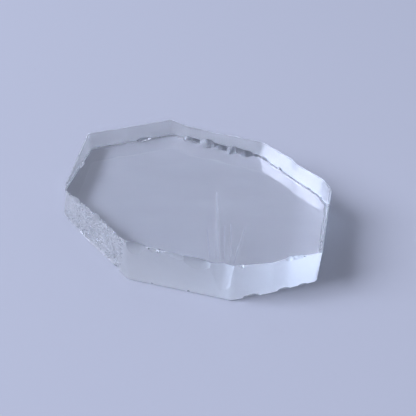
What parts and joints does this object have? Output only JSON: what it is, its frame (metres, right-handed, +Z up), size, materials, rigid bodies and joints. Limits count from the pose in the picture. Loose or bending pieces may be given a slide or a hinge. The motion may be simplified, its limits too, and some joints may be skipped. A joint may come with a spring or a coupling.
{
  "type": "quartz crystal slab",
  "caption": "Clear colourless quartz cut as an irregular many-sided slab, with polished flat faces, ground walls and chipped rims; lies flat as a specimen.",
  "frame": {"origin": "on the polished underside, under the middle of the slab's box", "axes": "+X along the longest extent, towards the slab's right tip; +Y towards its back tip; +Z up through its thickness"},
  "size_m": [0.034, 0.0292, 0.0055],
  "materials": {
    "clear_quartz": "polished clear faces, finely ground frosted walls"
  },
  "bodies": {
    "root": {"quartz_slab": "clear_quartz"}
  },
  "joints": []
}
